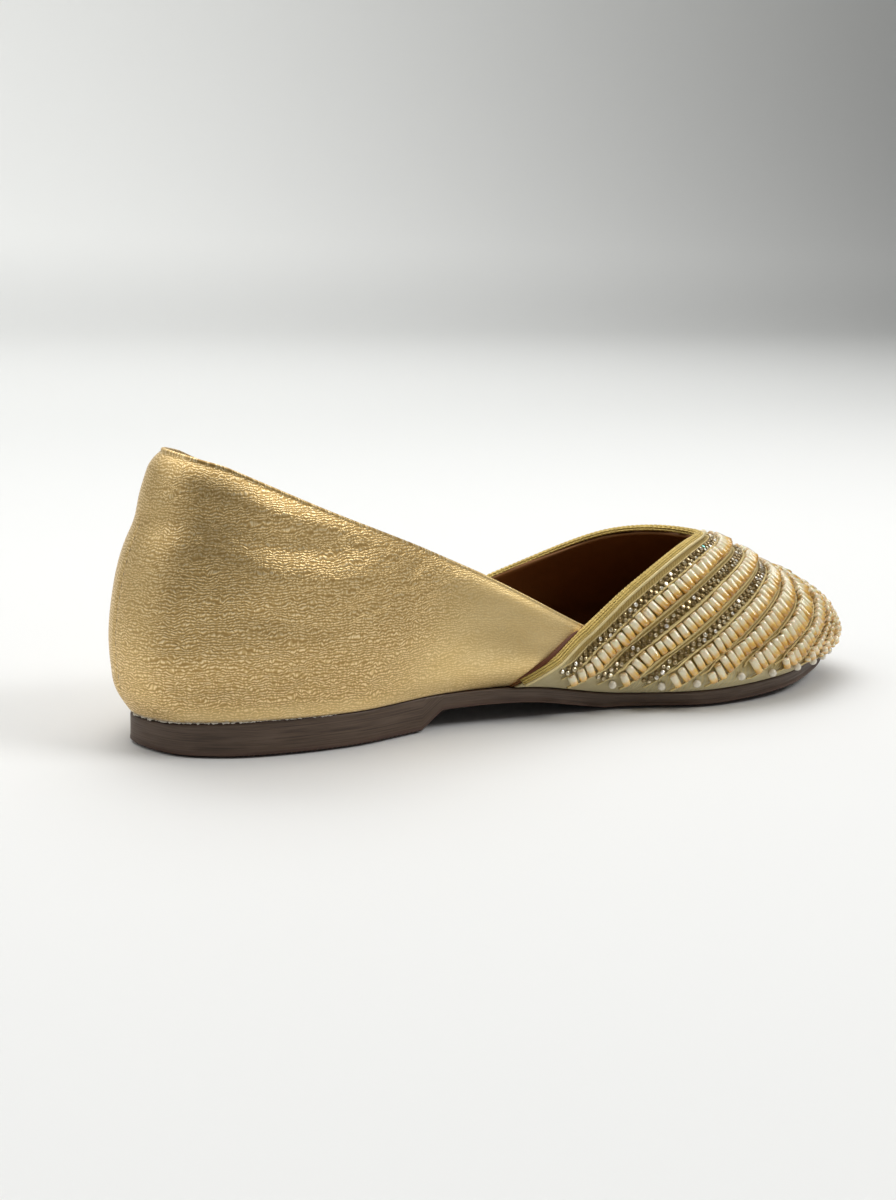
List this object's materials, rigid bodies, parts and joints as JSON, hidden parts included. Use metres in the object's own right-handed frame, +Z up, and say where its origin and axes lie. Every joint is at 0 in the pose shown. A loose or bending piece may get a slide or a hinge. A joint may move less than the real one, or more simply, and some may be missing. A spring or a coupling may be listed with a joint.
{
  "type": "bridal shoe",
  "caption": "Slip-on flat for a wedding: a hollow gold leather upper with a high back, a V-shaped throat, a vamp covered in rows of tube beads and small stones, and a low rubber sole.",
  "frame": {"origin": "on the floor under the middle of the heel, at the heel's flat rest face", "axes": "+X to the toe, +Y to the shoe's outer side, which is its left, +Z up from the floor"},
  "size_m": [0.2517, 0.0867, 0.0809],
  "materials": {
    "sole_rubber": "moulded dark brown rubber, brushed satin on the edge",
    "lining_leather": "smooth brown lining leather",
    "gold_leather": "gold metallic leather with a fine wavy grain, soft gloss",
    "brocade": "matt olive-gold woven cloth",
    "gold_thread": "ribbed gold thread, silky",
    "bead_glass": "glossy tube beads, pearl white at one end and amber at the other",
    "stone_glass": "small cut champagne stones set in dark amber"
  },
  "bodies": {
    "root": {"outsole": "sole_rubber", "insole": "lining_leather", "upper": "gold_leather", "vamp_cover": "brocade", "throat_braid": "gold_thread", "bead_row_1": "bead_glass", "bead_row_2": "bead_glass", "bead_row_3": "bead_glass", "bead_row_4": "bead_glass", "bead_row_5": "bead_glass", "bead_row_6": "bead_glass", "bead_row_7": "bead_glass", "bead_row_8": "bead_glass", "bead_row_9": "bead_glass", "bead_row_10": "bead_glass", "stone_row_1": "stone_glass", "stone_row_2": "stone_glass", "stone_row_3": "stone_glass"}
  },
  "joints": []
}
